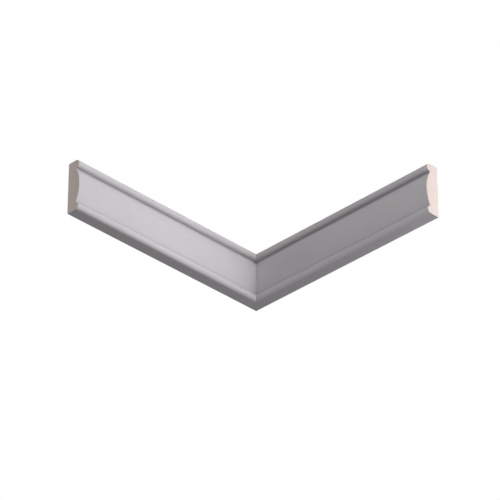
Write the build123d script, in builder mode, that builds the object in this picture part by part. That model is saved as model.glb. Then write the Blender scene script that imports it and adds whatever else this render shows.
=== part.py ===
import os

from build123d import *

# Driving dimensions, in millimetres
height = 57.0              # bottom edge to top edge, up the wall
thickness = 16.0           # wall to the crest of the cushion
top_bead_radius = 4.5      # half-round bead along the top edge
top_bead_reach = 14.6      # wall to the nose of the top bead
bottom_bead_radius = 4.0   # half-round bead along the bottom edge
bottom_bead_reach = 15.3   # wall to the nose of the bottom bead
left_run = 256.0           # wall corner to the sawn end of the left length
right_run = 247.0          # wall corner to the sawn end of the right length

half_turn = 180            # degrees swept by a half-round bead

# The foot of the wall corner is the origin. The left wall runs along -Y and the right wall along +X.
# On each plane x points out of the wall into the room and y points up the wall.
left_wall_section = Plane(origin=(0, 0, 0), x_dir=(1, 0, 0), z_dir=(0, -1, 0))
right_wall_section = Plane(origin=(0, 0, 0), x_dir=(0, -1, 0), z_dir=(-1, 0, 0))

# The mitre stands upright in the corner, half-way between the two walls, and faces the right length.
mitre = Plane(origin=(0, 0, 0), z_dir=left_wall_section.x_dir - right_wall_section.x_dir)

# The section of the stock: a flat back, and a cushion held between two half-round beads.
# Where the cushion runs in behind a bead, the two meet in a sharp quirk.
with BuildSketch() as section:
    with BuildLine():
        top_edge = Line((0, height), (top_bead_reach - top_bead_radius, height))
        top_bead = JernArc(top_edge @ 1, top_edge % 1, top_bead_radius, -half_turn)
        bottom_edge = Line((0, 0), (bottom_bead_reach - bottom_bead_radius, 0))
        bottom_bead = JernArc(bottom_edge @ 1, bottom_edge % 1, bottom_bead_radius, half_turn)
        top_quirk = top_bead @ 1
        bottom_quirk = bottom_bead @ 1
        crest = (thickness, (top_quirk.Y + bottom_quirk.Y) / 2)
        TangentArc(crest, top_quirk, tangent=(0, 1))
        TangentArc(crest, bottom_quirk, tangent=(0, -1))
        Line(bottom_edge @ 0, top_edge @ 0)
    make_face()

# Left length: sawn square at its free end, mitred where it meets the right length
with BuildPart() as left_length:
    with BuildSketch(left_wall_section):
        add(section.sketch)
    extrude(amount=left_run)
    split(bisect_by=mitre, keep=Keep.BOTTOM)

# Right length: the same stock, mitred the other way
with BuildPart() as right_length:
    with BuildSketch(right_wall_section):
        add(section.sketch)
    extrude(amount=-right_run)
    split(bisect_by=mitre, keep=Keep.TOP)

left_length.part.label = "left_length"
right_length.part.label = "right_length"

os.makedirs("parts", exist_ok=True)
export_step(left_length.part, "parts/left_length.step")
export_step(right_length.part, "parts/right_length.step")
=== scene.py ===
# %% [markdown]
# # An inside corner of wall moulding
# Two lengths of the same moulding meet in the corner of a room. Each was run through shaped cutters, primed
# in pale grey and then sawn: square at its free end, and at 45 degrees where it meets its neighbour.
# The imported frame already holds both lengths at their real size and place. This script gives them the
# surfaces that an eye sees, and nothing here moves or resizes what the frame holds.

import bpy
import numpy as np
from mathutils import Matrix, Vector


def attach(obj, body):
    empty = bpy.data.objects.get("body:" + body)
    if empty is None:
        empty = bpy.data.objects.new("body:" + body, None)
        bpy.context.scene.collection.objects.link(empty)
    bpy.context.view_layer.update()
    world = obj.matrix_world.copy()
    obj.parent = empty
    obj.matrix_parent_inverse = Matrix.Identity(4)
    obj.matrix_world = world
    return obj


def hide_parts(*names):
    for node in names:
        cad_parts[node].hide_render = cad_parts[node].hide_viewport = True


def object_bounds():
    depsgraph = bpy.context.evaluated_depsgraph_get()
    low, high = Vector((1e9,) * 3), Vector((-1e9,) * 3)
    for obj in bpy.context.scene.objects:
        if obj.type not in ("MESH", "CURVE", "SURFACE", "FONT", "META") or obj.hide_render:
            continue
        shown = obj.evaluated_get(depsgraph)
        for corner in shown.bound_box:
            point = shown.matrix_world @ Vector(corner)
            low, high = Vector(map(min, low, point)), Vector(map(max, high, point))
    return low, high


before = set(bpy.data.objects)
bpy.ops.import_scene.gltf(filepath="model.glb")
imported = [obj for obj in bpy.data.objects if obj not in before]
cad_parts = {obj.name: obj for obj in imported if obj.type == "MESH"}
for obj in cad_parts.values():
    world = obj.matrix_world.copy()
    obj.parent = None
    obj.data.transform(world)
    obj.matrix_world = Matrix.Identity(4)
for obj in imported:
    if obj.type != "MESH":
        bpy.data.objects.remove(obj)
cad_low, cad_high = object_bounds()
MM = 0.001
print("nodes:", sorted(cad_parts), "box in mm:", [round(side / MM, 1) for side in cad_high - cad_low])

# %% [markdown]
# ## A frame of its own for the stock
# Both lengths are the same stock laid along different walls, so every shape and every pattern below is worked
# out once, in the stock's own terms: how far *along* the wall, how far *out* from the wall, and how far *up*.
# A small matrix per length turns those three numbers into the room's X, Y and Z. The right length is the
# mirror image of the left one, which is why its faces are later wound the other way round.

# %% The two walls
WALLS = {
    "left_length": np.array([(0.0, -1.0, 0.0), (1.0, 0.0, 0.0), (0.0, 0.0, 1.0)]),
    "right_length": np.array([(1.0, 0.0, 0.0), (0.0, -1.0, 0.0), (0.0, 0.0, 1.0)]),
}


def stock_places(node):
    """A node's vertices as rows of (along, out, up): its room coordinates times the wall's three axes."""
    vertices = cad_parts[node].data.vertices
    places = np.empty(3 * len(vertices))
    vertices.foreach_get("co", places)
    return places.reshape(-1, 3) @ WALLS[node].T


runs = {node: stock_places(node)[:, 0].max() for node in WALLS}
print("runs from the wall corner in mm:", {node: round(run / MM, 2) for node, run in runs.items()})

# %% [markdown]
# ## Read the section off the solid
# The section is a flat back and a cushioned face between two half-round beads. Its sizes could be typed in
# again, but then they could drift away from the solid, so they are measured on the solid's own vertices: the
# furthest point near each edge is a bead's nose, and a flat edge ends where its bead begins.

# %% Measure the section
out, up = stock_places("left_length").T[1:]
height = up.max()
thickness = out.max()
TOUCH = 1e-6              # two heights closer than this are the same
EDGE_ZONE = 0.1 * height  # a bead's nose lies this close to its edge
bottom_reach = out[up < EDGE_ZONE].max()
top_reach = out[up > height - EDGE_ZONE].max()
bottom_radius = bottom_reach - out[up < TOUCH].max()
top_radius = top_reach - out[up > height - TOUCH].max()
print(f"section {height / MM:.2f} mm high and {thickness / MM:.2f} mm thick")
print(f"bottom bead reaches {bottom_reach / MM:.2f} mm with radius {bottom_radius / MM:.2f} mm")
print(f"top bead reaches {top_reach / MM:.2f} mm with radius {top_radius / MM:.2f} mm")

# %% [markdown]
# ## Draw the face with arcs
# A cutter leaves a razor-sharp quirk where the cushion runs in behind a bead, but primer gathers there and
# softens it. So the face is drawn as a chain of arcs from the bottom edge to the top edge: bead, a small
# fillet of primer, the cushion in two halves that share a crest, another fillet, and the other bead. A spline
# through points would be quicker to write and would never be quite round.

# %% Arcs and fillets
STEP = 0.36 * MM           # spacing of points along the face
FEWEST_STEPS = 6           # even the smallest fillet gets this many
PRIMER_FILLET = 0.35 * MM  # radius of the primer that gathers in a quirk


def arc(centre, radius, start, stop):
    """Points on a circle: centre plus radius times (cos, sin) of angles spaced evenly from start to stop."""
    count = max(int(np.ceil(abs(stop - start) * radius / STEP)), FEWEST_STEPS)
    angles = np.linspace(start, stop, count + 1)
    return centre + radius * np.stack([np.cos(angles), np.sin(angles)], axis=1)


def angle_of(centre, point):
    """The direction from centre to point, as an angle from the outward axis."""
    return np.arctan2(point[1] - centre[1], point[0] - centre[0])


def outside_fillet(bead, bead_radius, cushion, cushion_radius):
    """The centre of a fillet that touches two circles from outside.

    It lies one radius further from each circle's centre than the circle itself does, so it is a corner of the
    triangle on the two centres. Of the two such corners, the one further out from the wall is the quirk's."""
    to_bead, to_cushion = bead_radius + PRIMER_FILLET, cushion_radius + PRIMER_FILLET
    between = bead - cushion
    span = np.hypot(*between)
    foot = (to_cushion**2 - to_bead**2 + span**2) / (2 * span)
    side = np.sqrt(to_cushion**2 - foot**2)
    unit = between / span
    corners = cushion + foot * unit + side * np.array([(-unit[1], unit[0]), (unit[1], -unit[0])])
    return corners[np.argmax(corners[:, 0])]


print(f"points on the face stand at most {STEP / MM} mm apart")

# %% The face from edge to edge
QUARTER = np.pi / 2
bottom_bead = np.array([bottom_reach - bottom_radius, bottom_radius])
top_bead = np.array([top_reach - top_radius, height - top_radius])
bottom_quirk = bottom_bead + (0.0, bottom_radius)
top_quirk = top_bead - (0.0, top_radius)
crest = np.array([thickness, (bottom_quirk[1] + top_quirk[1]) / 2])


def half_face(bead, bead_radius, bead_start, quirk):
    """One bead from the angle bead_start on, its fillet, and half the cushion as far as the crest.

    The cushion's arc is upright at the crest and passes through the quirk, so its radius is
    (sink squared + rise squared) / (2 sink), with sink and rise the way from the crest to the quirk."""
    sink, rise = np.abs(crest - quirk)
    radius = (sink**2 + rise**2) / (2 * sink)
    cushion = crest - (radius, 0.0)
    fillet = outside_fillet(bead, bead_radius, cushion, radius)
    start, stop = np.unwrap([angle_of(fillet, bead), angle_of(fillet, cushion)])
    return np.concatenate([
        arc(bead, bead_radius, bead_start, angle_of(bead, fillet)),
        arc(fillet, PRIMER_FILLET, start, stop)[1:],
        arc(cushion, radius, angle_of(cushion, fillet), 0.0)[1:],
    ])


lower = half_face(bottom_bead, bottom_radius, -QUARTER, bottom_quirk)
upper = half_face(top_bead, top_radius, QUARTER, top_quirk)
face = np.concatenate([lower, upper[-2::-1]])
print(len(face), "points up the face, always rising:", bool((np.diff(face[:, 1]) > 0).all()))

# %% [markdown]
# ## Fill the section with a grid
# The face never doubles back on the way up, so the whole section is a function of two parameters: how far up,
# and what share of the way from the back to the face. That grid becomes the sawn end, and its rim, walked
# once round, becomes the outline that is carried along the wall. One grid for both means that the end and the
# sides share their points, and the finished piece is closed.

# %% The section grid and its rim
BACK_ARRIS = 0.3 * MM  # radius of the two long arrises at the wall
COLUMNS = 36           # cells from the back to the face

from_edge = np.minimum(face[:, 1], height - face[:, 1])
bite = np.clip(BACK_ARRIS - from_edge, 0.0, None)
back = BACK_ARRIS - np.sqrt(BACK_ARRIS**2 - bite**2)
share = np.linspace(0.0, 1.0, COLUMNS + 1)
section = np.empty((len(face), COLUMNS + 1, 2))
section[..., 0] = back[:, None] + share * (face[:, 0] - back)[:, None]
section[..., 1] = face[:, 1:]

last_row, last_column = len(face) - 1, COLUMNS
rows, columns = np.arange(last_row), np.arange(last_column)
at_back, at_face = np.zeros(last_row, int), np.full(last_row, last_column)
at_foot, at_top = np.zeros(last_column, int), np.full(last_column, last_row)
rim_row = np.concatenate([rows, at_top, last_row - rows, at_foot])
rim_column = np.concatenate([at_back, columns, at_face, last_column - columns])
rim_size = len(rim_row)
print("section grid", section.shape[:2], "with", rim_size, "points round its rim")

# %% [markdown]
# ## Carry the outline along the wall
# Every point of the rim is carried along the wall from the mitre to the sawn end. The mitre is the plane
# where *along* equals *out*, so a point starts as far along as it stands out from the wall. Just before each
# cut the outline shrinks by a hair, because a saw breaks the very edge of the primer. The blade's teeth also
# leave faint arcs on the end, one per bite, centred on the saw's spindle.

# %% What the saw leaves
FREE_EASE, MITRE_EASE = 0.12 * MM, 0.05 * MM   # how far each cut's edge is broken
SPINDLE = np.array([95.0, 120.0]) * MM         # centre of the saw blade, as (out, up)
BITE_PITCH, BITE_DEPTH = 1.3 * MM, 0.012 * MM  # spacing and depth of the arcs


def shrunk(points, ease):
    """Section points drawn in by ease on all four sides: scaled about the middle of the section's box."""
    middle = np.array([thickness, height]) / 2
    return middle + (points - middle) * (1 - ease / middle)


def saw_marks(points):
    """How deep the blade bit: a cosine wave of the distance from the spindle."""
    distance = np.hypot(*np.moveaxis(points - SPINDLE, -1, 0))
    return BITE_DEPTH * (0.5 - 0.5 * np.cos(2 * np.pi * distance / BITE_PITCH))


print(f"saw marks are up to {saw_marks(section).max() / MM:.3f} mm deep")

# %% One length as a closed surface
STATION = 9.0 * MM  # spacing of the outlines along the wall


def moulding_surface(run):
    """Stock coordinates, side faces and cut faces of one length.

    The sides are rim points times stations: along the wall a point goes from its own mitre place to the sawn
    end in equal steps. Each cut is the section grid, with the outermost outline as its rim."""
    rim = section[rim_row, rim_column]
    stations = np.linspace(0.0, 1.0, int(run / STATION) + 1)[:, None]
    starts, stops = rim[:, 0] + MITRE_EASE, run - FREE_EASE
    sides = np.empty((len(stations), rim_size, 3))
    sides[..., 0] = starts + stations * (stops - starts)
    sides[..., 1:] = rim

    at_mitre, at_end = shrunk(section, MITRE_EASE), shrunk(section, FREE_EASE)
    mitre = np.concatenate([at_mitre[..., :1], at_mitre], axis=2)
    sawn = np.concatenate([run - saw_marks(at_end)[..., None], at_end], axis=2)
    rings = np.concatenate([mitre[None, rim_row, rim_column], sides, sawn[None, rim_row, rim_column]])
    insides = np.stack([mitre[1:-1, 1:-1], sawn[1:-1, 1:-1]])
    points = np.concatenate([rings.reshape(-1, 3), insides.reshape(-1, 3)])

    index = np.arange(len(points))
    ring_count = len(rings) * rim_size
    ring_index = index[:ring_count].reshape(-1, rim_size)
    ahead = np.roll(ring_index, -1, axis=1)
    side_faces = np.stack([ring_index[:-1], ring_index[1:], ahead[1:], ahead[:-1]], axis=-1)

    grids = np.empty((2, *section.shape[:2]), int)
    grids[:, rim_row, rim_column] = ring_index[[0, -1]]
    grids[:, 1:-1, 1:-1] = index[ring_count:].reshape(insides.shape[:3])
    below, above = grids[:, :-1], grids[:, 1:]
    cut_faces = np.stack([below[..., :-1], below[..., 1:], above[..., 1:], above[..., :-1]], axis=-1)
    cut_faces[0] = cut_faces[0, ..., ::-1]
    return points, side_faces.reshape(-1, 4), cut_faces.reshape(-1, 4)


print("outlines stand about", STATION / MM, "mm apart")

# %% Try it on the left length
def enclosed_volume(points, faces):
    """The volume inside a closed surface: a sixth of the triple products of all its triangles, added up."""
    corners = points[np.concatenate([faces[:, [0, 1, 2]], faces[:, [0, 2, 3]]])]
    return np.einsum("ij,ij->", corners[:, 0], np.cross(corners[:, 1], corners[:, 2])) / 6


trial_points, *trial_faces = moulding_surface(runs["left_length"])
volume = enclosed_volume(trial_points, np.concatenate(trial_faces)) / MM**3
print(f"{len(trial_points)} points hold {volume:.0f} cubic mm; above zero means that the faces point out")

# %% [markdown]
# ## Shader sums in plain Python
# Materials are graphs of nodes, and a graph is hard to read as a list of links. So one small class wraps a
# node's output: sums on it add Math nodes, and one method adds any other node. Every pattern then reads like
# the sentence that describes it.

# %% A tap on a node's output
MIX_SHARE, MIX_FIRST, MIX_SECOND, MIX_RESULT = 0, 6, 7, 2  # a Mix node's sockets for colours


class Tap:
    """A node's output that can be used in sums."""

    def __init__(self, tree, socket):
        self.tree, self.socket = tree, socket

    def node(self, kind, settings=(), inputs=(), output=0):
        """Add any node: its settings first, then a value or a link for each of its sockets."""
        made = self.tree.nodes.new(kind)
        for key, value in dict(settings).items():
            setattr(made, key, value)
        for key, value in dict(inputs).items():
            if isinstance(value, Tap):
                self.tree.links.new(value.socket, made.inputs[key])
            else:
                made.inputs[key].default_value = value
        return Tap(self.tree, made.outputs[output])

    def math(self, operation, *values):
        """Add a Math node on these values."""
        return self.node("ShaderNodeMath", {"operation": operation}, enumerate(values))

    def __add__(self, other):
        return self.math("ADD", self, other)

    def __sub__(self, other):
        return self.math("SUBTRACT", self, other)

    def __rsub__(self, other):
        return self.math("SUBTRACT", other, self)

    def __mul__(self, other):
        return self.math("MULTIPLY", self, other)

    __radd__, __rmul__ = __add__, __mul__

    def least(self, other):
        """The smaller of two values."""
        return self.math("MINIMUM", self, other)

    def most(self, other):
        """The larger of two values."""
        return self.math("MAXIMUM", self, other)

    def fade(self, zero_at, one_at):
        """A smooth step: 0 where this value is zero_at, 1 where it is one_at, and eased between them."""
        return self.node("ShaderNodeMapRange", {"interpolation_type": "SMOOTHSTEP"},
                         {"Value": self, "From Min": zero_at, "From Max": one_at})

    def blend(self, first, second):
        """A colour that goes from first to second as this value goes from 0 to 1."""
        return self.node("ShaderNodeMix", {"data_type": "RGBA"},
                         {MIX_SHARE: self, MIX_FIRST: first, MIX_SECOND: second}, MIX_RESULT)


print("taps can add, subtract, multiply, fade and blend")

# %% [markdown]
# ## Patterns that follow the stock
# Fibres, sander lines and cutter marks run along the stock, whichever wall it lies on. So each piece carries
# its own stock coordinates as an attribute named *stock*, and every pattern is a noise of those, squeezed or
# stretched. The left length counts *along* as negative, so that the two lengths never show the same pattern
# mirrored in the mitre. A second attribute, *to_cut*, says how far a point is from the saw cut.

# %% Pattern helpers
NOISE_MIDDLE = 0.5  # the noise node's values lie round this
SPECK_CORE = 0.3    # share of a speck's radius that is solid
ACROSS = (0, 1, 1)  # times this, stock coordinates keep out and up and lose along


def start_material(name):
    """An empty material, its shader, and a tap on the piece's stock coordinates."""
    material = bpy.data.materials.new(name)
    material.use_nodes = True
    shader = material.node_tree.nodes["Principled BSDF"]
    root = Tap(material.node_tree, shader.outputs["BSDF"])
    stock = root.node("ShaderNodeAttribute", {"attribute_name": "stock"}, output="Vector")
    return material, shader, stock


def stretched(stock, along_mm, out_mm, up_mm):
    """Stock coordinates counted in patches: each direction divided by the size of a patch there."""
    per_metre = tuple(1 / (size * MM) for size in (along_mm, out_mm, up_mm))
    return stock.node("ShaderNodeVectorMath", {"operation": "MULTIPLY"}, {0: stock, 1: per_metre})


def patches(stock, along_mm, out_mm, up_mm, detail=2.0):
    """Noise centred on zero, about one patch in size each way, with detail octaves of finer noise."""
    place = stretched(stock, along_mm, out_mm, up_mm)
    noise = place.node("ShaderNodeTexNoise", (), {"Vector": place, "Scale": 1.0, "Detail": detail})
    return noise - NOISE_MIDDLE


def specks(stock, along_mm, out_mm, up_mm, radius):
    """Scattered dots, one at most per cell: 1 at a cell's centre, 0 past radius, counted in cells."""
    place = stretched(stock, along_mm, out_mm, up_mm)
    distance = place.node("ShaderNodeTexVoronoi", (), {"Vector": place, "Scale": 1.0}, "Distance")
    return distance.fade(radius, SPECK_CORE * radius)


def from_line(stock, line):
    """How far a point is from a line that runs along the stock at (out, up)."""
    flat = stock.node("ShaderNodeVectorMath", {"operation": "MULTIPLY"}, {0: stock, 1: ACROSS})
    return flat.node("ShaderNodeVectorMath", {"operation": "DISTANCE"}, {0: flat, 1: (0, *line)}, "Value")


def put_on(shader, colour, roughness, relief, depth):
    """Join colour, roughness and relief to a shader; relief of 1 stands depth metres high."""
    bump = colour.node("ShaderNodeBump", (), {"Height": relief, "Distance": depth})
    for name, tap in (("Base Color", colour), ("Roughness", roughness), ("Normal", bump)):
        tap.tree.links.new(tap.socket, shader.inputs[name])


print("patterns are counted in millimetres of stock")

# %% [markdown]
# ## Pale grey primer
# The moulded faces wear a matt coat of sprayed primer. It is even to the eye, but not flat: the coat is a
# little thicker in some places, fine lines run along it where the board was sanded, its skin has the pebbling
# of a sprayed coat, and the odd grain of dust stands in it. Behind each bead the colour is painted darker
# towards a dark grey, as painted shade in the quirk, most of all in the deep top quirk. Along the
# saw cut, tiny chips of the coat have broken away and show the board. Real geometry for such fine relief
# would need millions of faces, so it is a bump.

# %% The primer
PRIMER_LIGHT, PRIMER_DARK = (0.667, 0.638, 0.665, 1), (0.627, 0.600, 0.625, 1)
# Painted shade: a dark grey blended into the primer behind the beads, where shade falls in the quirks.
QUIRK_SHADE_GREY = (0.20, 0.192, 0.20, 1)
BOARD_LIGHT, BOARD_DARK = (0.69, 0.605, 0.56, 1), (0.60, 0.52, 0.478, 1)
TOP_PAINTED_SHADE, BOTTOM_PAINTED_SHADE = 0.40, 0.20               # share of painted shade in each quirk
TOP_SHADE_FULL_TO, TOP_SHADE_END = 1.5 * MM, 6.0 * MM  # how far from the quirk it is full, and where it ends
BOTTOM_SHADE_END = 5.0 * MM
CHIP_BARE, CHIP_END = 0.08 * MM, 0.22 * MM       # up to where a chip shows bare board, and where it ends
CHIP_RAGGED = 0.6 * MM                           # how far the edge of the chips wanders
PRIMER_ROUGHNESS, PRIMER_SPECULAR = 0.7, 0.16
PRIMER_RELIEF = 0.03 * MM


def grey_primer():
    """Each sum is a middle value plus every pattern times its strength; chips lie over the painted quirk
    shade.
    """
    material, shader, stock = start_material("grey_primer")
    clouds = patches(stock, along_mm=30, out_mm=18, up_mm=18, detail=3.0)
    lines = patches(stock, along_mm=150, out_mm=1.1, up_mm=1.1)
    pebbles = patches(stock, along_mm=1.6, out_mm=1.2, up_mm=1.2)
    dust = specks(stock, along_mm=14, out_mm=14, up_mm=14, radius=0.02)
    ragged = CHIP_RAGGED * patches(stock, along_mm=0.9, out_mm=0.9, up_mm=0.9)
    to_cut = stock.node("ShaderNodeAttribute", {"attribute_name": "to_cut"}, output="Fac")
    chips = (to_cut + ragged).fade(CHIP_END, CHIP_BARE)
    # Painted shade in the quirks: strongest in the top quirk and fading out over the bead and the cushion.
    quirk_shade = TOP_PAINTED_SHADE * from_line(stock, top_quirk).fade(TOP_SHADE_END, TOP_SHADE_FULL_TO)
    quirk_shade = quirk_shade + BOTTOM_PAINTED_SHADE * from_line(stock, bottom_quirk).fade(BOTTOM_SHADE_END, 0.0)
    tone = (0.5 + 0.9 * clouds + 0.7 * lines).fade(0.0, 1.0)
    coat_and_quirk_shade = quirk_shade.blend(tone.blend(PRIMER_DARK, PRIMER_LIGHT), QUIRK_SHADE_GREY)
    colour = chips.blend(coat_and_quirk_shade, BOARD_LIGHT)
    roughness = PRIMER_ROUGHNESS + 0.12 * clouds + 0.1 * lines + 0.35 * chips
    relief = 0.7 * pebbles + 0.35 * lines + dust - chips
    put_on(shader, colour, roughness, relief, PRIMER_RELIEF)
    shader.inputs["Specular IOR Level"].default_value = PRIMER_SPECULAR
    return material


primer = grey_primer()
print(primer.name, "has", len(primer.node_tree.nodes), "nodes")

# %% [markdown]
# ## Sawn fibreboard
# The ends show the board itself. It was pressed from wood fibre laid down flat, so a cut end is cream and
# matt, with faint layers parallel to the back, a fuzz of torn fibres, and a few darker specks of bark. The
# layers are denser and a little darker towards the moulded face.

# %% The sawn ends
FRESH_BARK, FRESH_BARK_SHOWS = (0.22, 0.165, 0.12, 1), 0.6
SAWN_ROUGHNESS, SAWN_SPECULAR = 0.9, 0.15
SAWN_RELIEF = 0.05 * MM


def sawn_board():
    """Tone is a middle value plus every pattern times its strength, less the denser board near the face."""
    material, shader, stock = start_material("sawn_board")
    layers = patches(stock, along_mm=40, out_mm=0.45, up_mm=14, detail=3.0)
    bands = patches(stock, along_mm=40, out_mm=1.7, up_mm=45)
    fuzz = patches(stock, along_mm=0.35, out_mm=0.22, up_mm=0.5)
    clouds = patches(stock, along_mm=12, out_mm=6, up_mm=9)
    bark = specks(stock, along_mm=6, out_mm=2.2, up_mm=3.4, radius=0.09)
    denser = stock.node("ShaderNodeSeparateXYZ", (), {0: stock}, "Y").fade(0.0, thickness)
    tone = 0.62 + 0.55 * layers + 0.6 * bands + 0.5 * fuzz + 0.3 * clouds - 0.18 * denser
    board = tone.fade(0.0, 1.0).blend(BOARD_DARK, BOARD_LIGHT)
    colour = (FRESH_BARK_SHOWS * bark).blend(board, FRESH_BARK)
    roughness = SAWN_ROUGHNESS + 0.1 * layers
    relief = fuzz + 0.5 * layers - 0.5 * bark
    put_on(shader, colour, roughness, relief, SAWN_RELIEF)
    shader.inputs["Specular IOR Level"].default_value = SAWN_SPECULAR
    return material


sawn_ends = sawn_board()
print(sawn_ends.name, "has", len(sawn_ends.node_tree.nodes), "nodes")

# %% [markdown]
# ## The bare back
# The back goes against the wall, so it is left as the sander left it: cream board, a little browner than the
# fresh ends, with fine lines along the stock and short fibres lying in it. Primer from the edges has drifted
# over its two long arrises in a ragged band a couple of millimetres wide.

# %% The back
BACK_LIGHT, BACK_DARK = (0.655, 0.565, 0.50, 1), (0.555, 0.47, 0.405, 1)
SANDED_BARK, SANDED_BARK_SHOWS = (0.2, 0.15, 0.11, 1), 0.55
DRIFT_FULL, DRIFT_END = 0.6 * MM, 2.2 * MM  # up to where the drift hides the board, and where it ends
DRIFT_RAGGED = 4.0 * MM                     # how far the edge of the drift wanders
BACK_ROUGHNESS, BACK_SPECULAR = 0.82, 0.2
BACK_RELIEF = 0.03 * MM


def sanded_back():
    """Tone is a middle value plus every pattern times its strength; the drift of primer lies over it."""
    material, shader, stock = start_material("sanded_back")
    lines = patches(stock, along_mm=70, out_mm=0.4, up_mm=0.32, detail=3.0)
    fibres = patches(stock, along_mm=2.6, out_mm=0.3, up_mm=0.3, detail=3.0)
    clouds = patches(stock, along_mm=34, out_mm=20, up_mm=20, detail=3.0)
    bark = specks(stock, along_mm=9, out_mm=3, up_mm=3.2, radius=0.08)
    fine = patches(stock, along_mm=3, out_mm=2, up_mm=1.2, detail=4.0)
    coarse = patches(stock, along_mm=26, out_mm=8, up_mm=8)
    upwards = stock.node("ShaderNodeSeparateXYZ", (), {0: stock}, "Z")
    to_edge = upwards.least(float(height) - upwards)
    drift = (to_edge + DRIFT_RAGGED * fine + DRIFT_RAGGED * coarse).fade(DRIFT_END, DRIFT_FULL)
    tone = (0.5 + 0.75 * lines + 0.8 * fibres + 0.8 * clouds).fade(0.0, 1.0)
    board = (SANDED_BARK_SHOWS * bark).blend(tone.blend(BACK_DARK, BACK_LIGHT), SANDED_BARK)
    colour = drift.blend(board, PRIMER_LIGHT)
    roughness = BACK_ROUGHNESS + 0.12 * lines - 0.2 * drift
    relief = 0.6 * lines + 0.6 * fibres - 0.4 * bark
    put_on(shader, colour, roughness, relief, BACK_RELIEF)
    shader.inputs["Specular IOR Level"].default_value = BACK_SPECULAR
    return material


bare_back = sanded_back()
print(bare_back.name, "has", len(bare_back.node_tree.nodes), "nodes")

# %% [markdown]
# ## Two pieces that stand for the two solids
# The surface of each length goes into a mesh, turned from stock coordinates into the room's. Each face gets
# the finish of its place: primer on the moulded faces and the edges, bare board on the back, sawn board on
# both cuts. The pieces take the places of the two solids, which stay behind them for weight and contact.

# %% Make the pieces
SHARP = np.radians(35.0)  # edges that bend more than this stay crisp
finishes = [primer, sawn_ends, bare_back]
PRIMED, SAWN, BARE = range(len(finishes))


def dress(node, name):
    """One length as a Blender object: its stock coordinates times the wall's axes.

    A mirrored wall would turn the faces inside out, so there they are wound the other way round."""
    wall, run = WALLS[node], runs[node]
    mirrored = np.linalg.det(wall) < 0
    points, side_faces, cut_faces = moulding_surface(run)
    rim_finish = np.where(np.arange(rim_size) < last_row, BARE, PRIMED)
    side_finish = np.tile(rim_finish, len(side_faces) // rim_size)
    finish_index = np.concatenate([side_finish, np.full(len(cut_faces), SAWN)])
    faces = np.concatenate([side_faces, cut_faces])
    faces = faces[:, ::-1] if mirrored else faces

    mesh = bpy.data.meshes.new(name)
    mesh.from_pydata((points @ wall).tolist(), [], faces.tolist())
    mesh.polygons.foreach_set("material_index", finish_index.astype(np.int32))
    signed = points * (1.0 if mirrored else -1.0, 1.0, 1.0)
    mesh.attributes.new("stock", "FLOAT_VECTOR", "POINT").data.foreach_set("vector", signed.ravel())
    mesh.attributes.new("to_cut", "FLOAT", "POINT").data.foreach_set("value", run - points[:, 0])
    mesh.shade_smooth()
    mesh.set_sharp_from_angle(angle=SHARP)
    for finish in finishes:
        mesh.materials.append(finish)

    piece = bpy.data.objects.new(name, mesh)
    bpy.context.collection.objects.link(piece)
    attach(piece, "root")
    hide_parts(node)
    return piece


pieces = [dress("left_length", "left_moulding"), dress("right_length", "right_moulding")]
for piece in pieces:
    print(piece.name, "has", len(piece.data.vertices), "points and", len(piece.data.polygons), "faces")

# %% [markdown]
# ## A floor that can be looked through from below
# The picture looks up at the moulding from below floor level, and other views look down on it. So the floor
# is a plain pale sheet that is solid from above and clear from below. It glows a little, which makes it pale
# without more light on the moulding, and it still takes the moulding's shadow. It glows more the further out,
# so that it runs into the white background without an edge. It throws no light back.

# %% The floor
WHITE = (1, 1, 1, 1)
FLOOR_HALF = 4.0
FLOOR_COLOUR = (0.75, 0.75, 0.755, 1)
FLOOR_ROUGHNESS, FLOOR_SPECULAR = 0.9, 0.1
NEAR_GLOW = (0.45, 0.45, 0.45, 1)
GLOW_STARTS, GLOW_ENDS = 0.5, 2.5  # distances from the corner over which the glow grows to white


def pale_floor():
    """The glow is NEAR_GLOW near the corner and fades to white with distance; seen from below it is clear."""
    material = bpy.data.materials.new("pale_floor")
    material.use_nodes = True
    tree = material.node_tree
    shader = tree.nodes["Principled BSDF"]
    shader.inputs["Base Color"].default_value = FLOOR_COLOUR
    shader.inputs["Roughness"].default_value = FLOOR_ROUGHNESS
    shader.inputs["Specular IOR Level"].default_value = FLOOR_SPECULAR
    shader.inputs["Emission Strength"].default_value = 1.0
    solid = Tap(tree, shader.outputs["BSDF"])
    place = solid.node("ShaderNodeTexCoord", output="Object")
    distance = place.node("ShaderNodeVectorMath", {"operation": "LENGTH"}, {0: place}, "Value")
    glow = distance.fade(GLOW_STARTS, GLOW_ENDS).blend(NEAR_GLOW, WHITE)
    tree.links.new(glow.socket, shader.inputs["Emission Color"])
    clear = solid.node("ShaderNodeBsdfTransparent")
    from_below = solid.node("ShaderNodeNewGeometry", output="Backfacing")
    seen = solid.node("ShaderNodeMixShader", (), {0: from_below, 1: solid, 2: clear})
    tree.links.new(seen.socket, tree.nodes["Material Output"].inputs["Surface"])
    return material


floor_corners = FLOOR_HALF * np.array([(-1, -1, 0), (1, -1, 0), (1, 1, 0), (-1, 1, 0)])
floor_mesh = bpy.data.meshes.new("floor")
floor_mesh.from_pydata(floor_corners.tolist(), [], [(0, 1, 2, 3)])
floor_mesh.materials.append(pale_floor())
floor = bpy.data.objects.new("floor", floor_mesh)
bpy.context.collection.objects.link(floor)
floor.visible_diffuse = floor.visible_glossy = floor.visible_transmission = floor.visible_shadow = False
print("floor is", 2 * FLOOR_HALF, "m square")

# %% [markdown]
# ## Plain studio light
# One large soft panel stands out to the right. It faces the left length squarely and only grazes the right
# length, which is why the left one is pale and the right one grey. A smaller panel nearer by, a little behind
# the right length, lets that length shade the left one close to the corner. A low one brightens the right end
# of the underside. Two weaker panels, in front and to the left, fill the right length, one behind keeps the
# backs and the top edge readable, and a dim even sky does the rest. Each level is the share of white that a
# white card facing the panel would show.

# %% Panels
middle = (cad_low + cad_high) / 2


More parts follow.
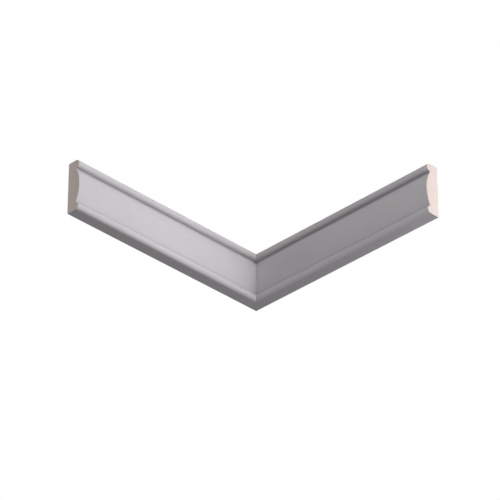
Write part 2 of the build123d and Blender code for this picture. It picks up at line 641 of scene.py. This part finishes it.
def panel(name, place, size, level):
    """A square area lamp aimed at the moulding's middle.

    Its power is level times the square of pi times its distance."""
    way = Vector(place) - middle
    light = bpy.data.lights.new(name, "AREA")
    light.size = size
    light.energy = level * (np.pi * way.length) ** 2
    lamp = bpy.data.objects.new(name, light)
    lamp.matrix_world = Matrix.Translation(place) @ way.to_track_quat("Z", "Y").to_matrix().to_4x4()
    lamp.visible_camera = False
    bpy.context.collection.objects.link(lamp)
    return lamp


lamps = [
    panel("right_panel", place=(1.60, -0.025, 0.29), size=1.2, level=0.574),
    panel("near_panel", place=(0.78, 0.11, 0.03), size=0.4, level=0.257),
    panel("low_panel", place=(0.52, 0.06, -0.21), size=0.3, level=0.182),
    panel("front_panel", place=(1.12, -1.86, 0.03), size=1.4, level=0.213),
    panel("left_panel", place=(-1.41, -1.41, 0.03), size=1.4, level=0.231),
    panel("back_panel", place=(-1.2, 1.2, 1.1), size=1.2, level=0.75),
]
print("watts:", {lamp.name: round(lamp.data.energy, 1) for lamp in lamps})

# %% The sky
SKY_LEVEL = 0.154
world = bpy.data.worlds.new("studio")
bpy.context.scene.world = world
world.use_nodes = True
background = world.node_tree.nodes["Background"]
background.inputs["Color"].default_value = WHITE
background.inputs["Strength"].default_value = SKY_LEVEL
sky = Tap(world.node_tree, background.outputs["Background"])
white = sky.node("ShaderNodeBackground", (), {"Color": WHITE, "Strength": 1.0})
by_camera, by_gloss, by_glass = (sky.node("ShaderNodeLightPath", output=name) for name in
                                 ("Is Camera Ray", "Is Glossy Ray", "Is Transmission Ray"))
shown = sky.node("ShaderNodeMixShader", (), {0: by_camera.most(by_gloss).most(by_glass), 1: sky, 2: white})
world.node_tree.links.new(shown.socket, world.node_tree.nodes["World Output"].inputs["Surface"])
print("sky lights at", SKY_LEVEL, "and shows as white")

# %% [markdown]
# ## The camera
# The picture was taken from far away with a long lens, half-way between the two walls and well below the
# moulding, so upright edges stay upright and both lengths run down to the corner at the same slope. The
# camera is placed so that the foot of the wall corner lands on its own pixel of the picture.

# %% Set up the camera
IMAGE = 500                     # pixels on each side of the picture
LENS, SENSOR = 240.0, 36.0      # focal length and width of the sensor, in mm
AZIMUTH, ELEVATION = np.radians(45.0), np.radians(-32.0)
CORNER_DEPTH = 3.3416           # metres from the lens to the corner, along the line of sight
CORNER_PIXEL = (256.2, 311.32)  # where the foot of the corner lands, from the picture's top left

away = Vector((np.sin(AZIMUTH) * np.cos(ELEVATION), -np.cos(AZIMUTH) * np.cos(ELEVATION), np.sin(ELEVATION)))
aside = Vector((np.cos(AZIMUTH), np.sin(AZIMUTH), 0.0))
above = away.cross(aside)
pixel = CORNER_DEPTH * SENSOR / LENS / IMAGE
place = away * CORNER_DEPTH
place += aside * (IMAGE / 2 - CORNER_PIXEL[0]) * pixel + above * (CORNER_PIXEL[1] - IMAGE / 2) * pixel

camera_data = bpy.data.cameras.new("camera")
camera_data.lens, camera_data.sensor_width = LENS, SENSOR
camera = bpy.data.objects.new("camera", camera_data)
camera.matrix_world = Matrix.Translation(place) @ Matrix((aside, above, away)).transposed().to_4x4()
bpy.context.collection.objects.link(camera)
bpy.context.scene.camera = camera
bpy.context.scene.view_settings.view_transform = "Standard"
print(f"camera {place.length:.2f} m from the corner, one pixel is {pixel / MM:.2f} mm there")
